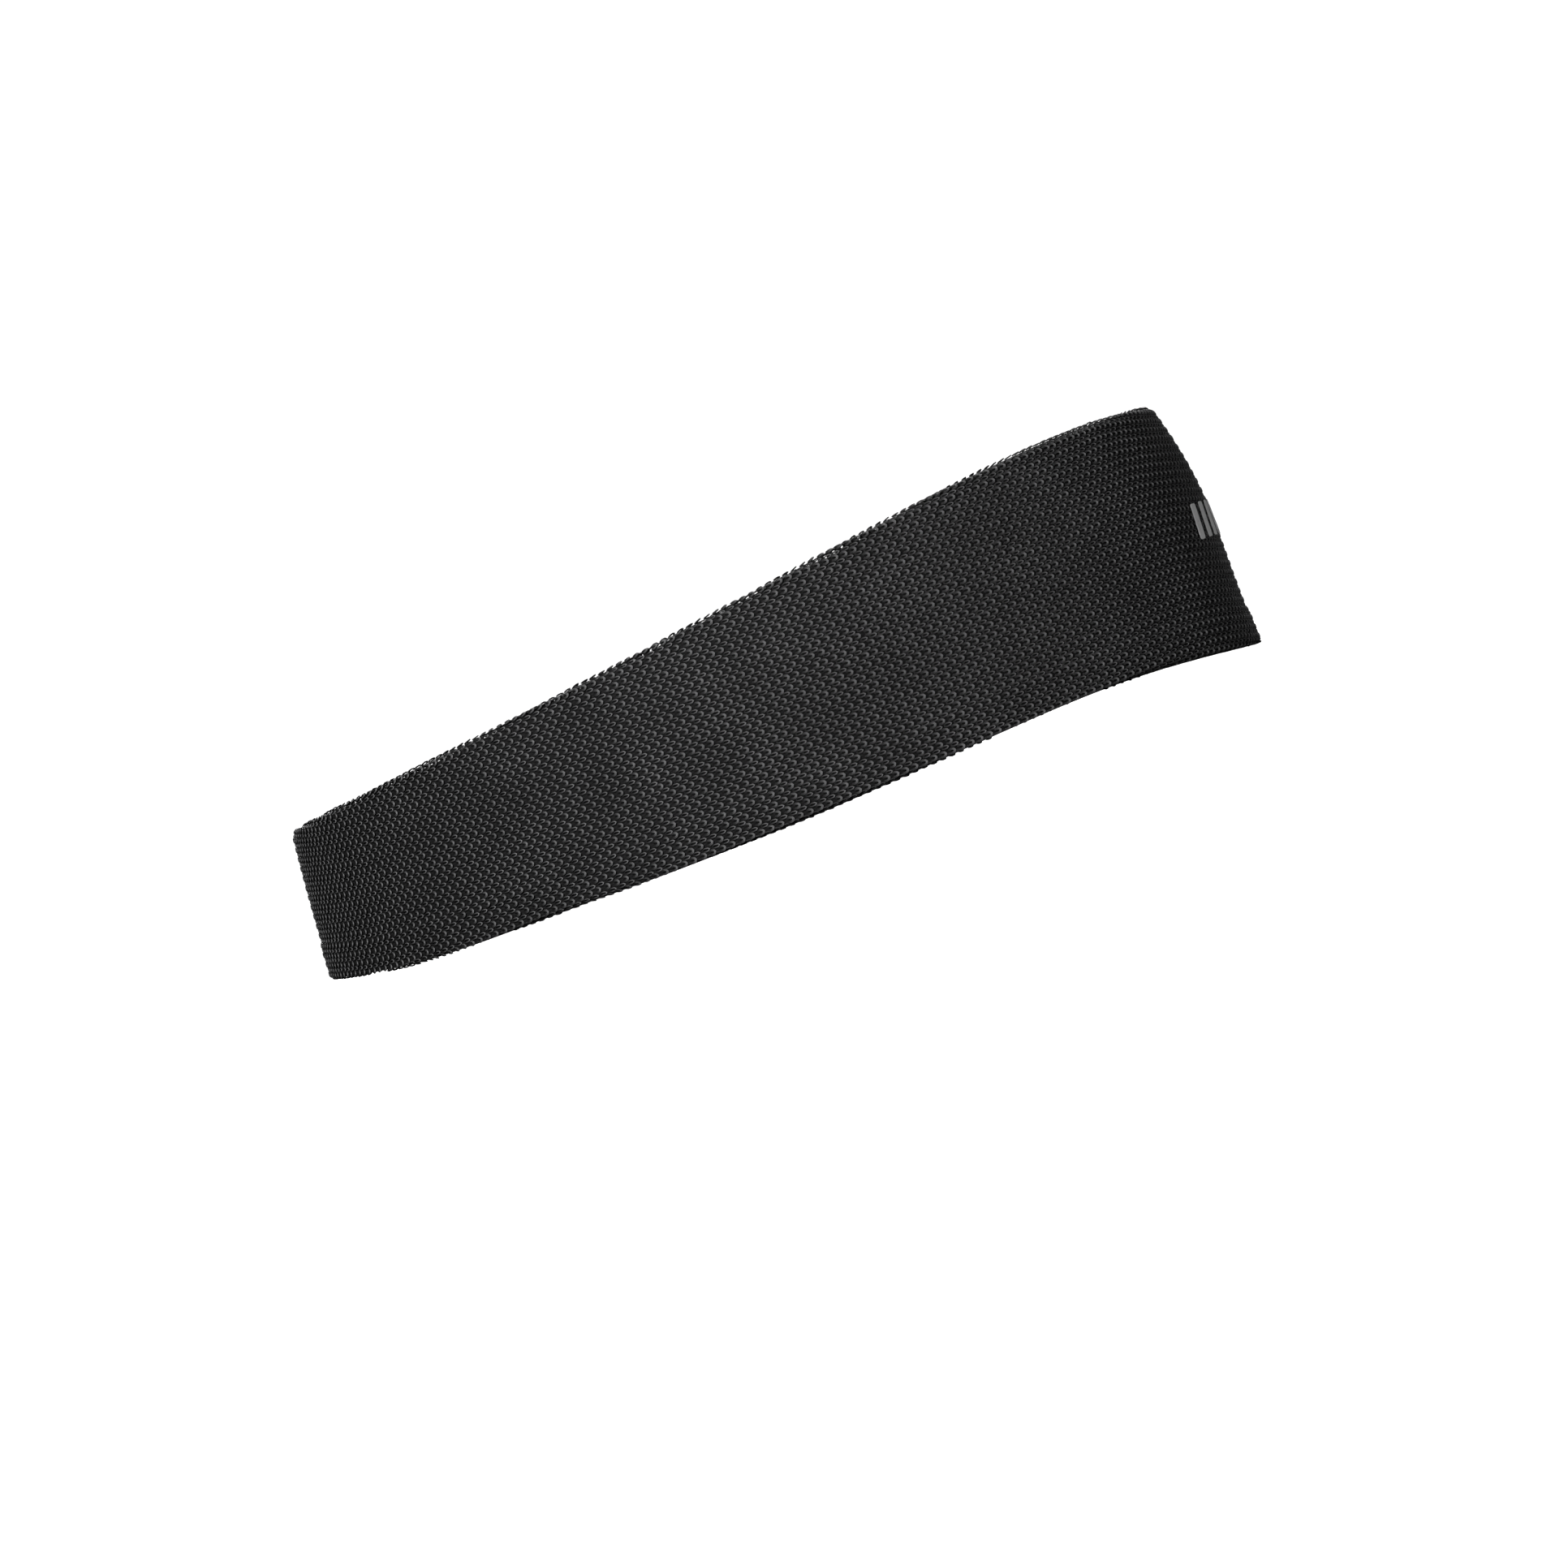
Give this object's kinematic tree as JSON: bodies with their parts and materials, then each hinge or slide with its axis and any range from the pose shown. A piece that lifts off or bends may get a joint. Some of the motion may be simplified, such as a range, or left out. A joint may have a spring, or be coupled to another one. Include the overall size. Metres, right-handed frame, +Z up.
{
  "type": "sports headband",
  "caption": "Tapered closed loop of mesh knit cloth, wide over the forehead and narrow at the nape, lined and padded, worn round the head.",
  "frame": {"origin": "under the middle of the loop, on the surface that its lower edge stands on", "axes": "+X towards the forehead, +Y to the wearer's left, +Z up out of the head opening"},
  "size_m": [0.2015, 0.152, 0.0535],
  "materials": {
    "mesh_knit": "charcoal black mesh knit, dull sheen",
    "lining_knit": "smooth black jersey knit",
    "terry": "dark grey looped terry",
    "thread": "black polyester thread",
    "transfer_film": "light grey heat transfer film",
    "label_satin": "off-white satin"
  },
  "bodies": {
    "band": {"outer_shell": "mesh_knit", "inner_lining": "lining_knit", "bottom_overlock": "thread", "forehead_sweat_pad": "terry", "top_lining_seam": "thread", "pad_stitching": "thread", "lining_back_seam": "thread", "shell_back_seam": "thread", "back_bar_tacks": "thread", "front_mark": "transfer_film", "label_stitching": "thread"},
    "label": {"care_label": "label_satin"}
  },
  "joints": [
    {"name": "label_flap", "type": "hinge", "parent": "band", "child": "label", "pos_m": [-0.09476, 0, 0.0222], "axis": [0, -1, 0], "range_deg": [-4, 120]}
  ]
}
